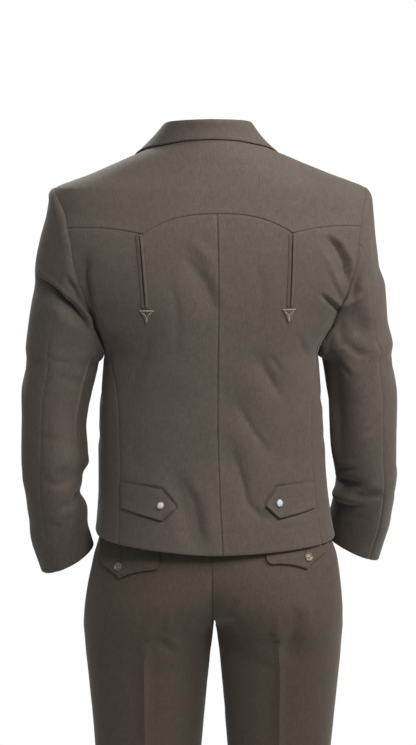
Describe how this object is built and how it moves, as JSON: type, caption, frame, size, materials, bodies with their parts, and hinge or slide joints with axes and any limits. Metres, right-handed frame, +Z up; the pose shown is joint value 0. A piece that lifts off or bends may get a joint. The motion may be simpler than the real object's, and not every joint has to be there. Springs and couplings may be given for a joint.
{
  "type": "western suit",
  "caption": "Worn western suit: short jacket with scalloped back yoke, piped darts, back tabs and two-piece sleeves, over straight trousers with buttoned pocket flaps.",
  "frame": {"origin": "middle of the neck hole, level with the inner ends of the shoulder seams, where the wearer's shoulders carry the suit", "axes": "+Z up, the wearer faces -Y, the wearer's left is +X"},
  "size_m": [0.5884, 0.2849, 1.5839],
  "materials": {
    "jacket_cloth": "heathered brown worsted with a slight sheen",
    "trouser_cloth": "heathered brown worsted, pressed",
    "embroidery": "satin-stitched thread",
    "snap_steel": "bright",
    "snap_pearl": "pearl",
    "bronze": "antiqued, worn on the rim",
    "horn": "horn-like, semi-gloss"
  },
  "bodies": {
    "root": {"jacket_yoke": "jacket_cloth", "jacket_back_left": "jacket_cloth", "jacket_back_right": "jacket_cloth", "jacket_side_left": "jacket_cloth", "jacket_side_right": "jacket_cloth", "jacket_front_left": "jacket_cloth", "jacket_front_right": "jacket_cloth", "jacket_lapel_left": "jacket_cloth", "jacket_lapel_right": "jacket_cloth", "jacket_sleeve_top_left": "jacket_cloth", "jacket_sleeve_top_right": "jacket_cloth", "jacket_sleeve_under_left": "jacket_cloth", "jacket_sleeve_under_right": "jacket_cloth", "back_tab_left": "jacket_cloth", "back_tab_right": "jacket_cloth", "dart_welt_inner_left": "jacket_cloth", "dart_welt_inner_right": "jacket_cloth", "dart_welt_outer_left": "jacket_cloth", "dart_welt_outer_right": "jacket_cloth", "jacket_collar": "jacket_cloth", "arrowhead_left": "embroidery", "arrowhead_right": "embroidery", "snap_ring_left": "snap_steel", "snap_pearl_left": "snap_pearl", "snap_ring_right": "snap_steel", "snap_pearl_right": "snap_pearl", "jacket_button_1": "horn", "jacket_button_2": "horn", "trouser_back_left": "trouser_cloth", "trouser_back_right": "trouser_cloth", "trouser_front_left": "trouser_cloth", "trouser_front_right": "trouser_cloth", "pocket_flap_left": "trouser_cloth", "pocket_flap_right": "trouser_cloth", "trouser_waistband": "trouser_cloth", "trouser_fly": "trouser_cloth", "flap_button_left": "bronze", "flap_button_right": "bronze", "trouser_button": "horn"}
  },
  "joints": []
}
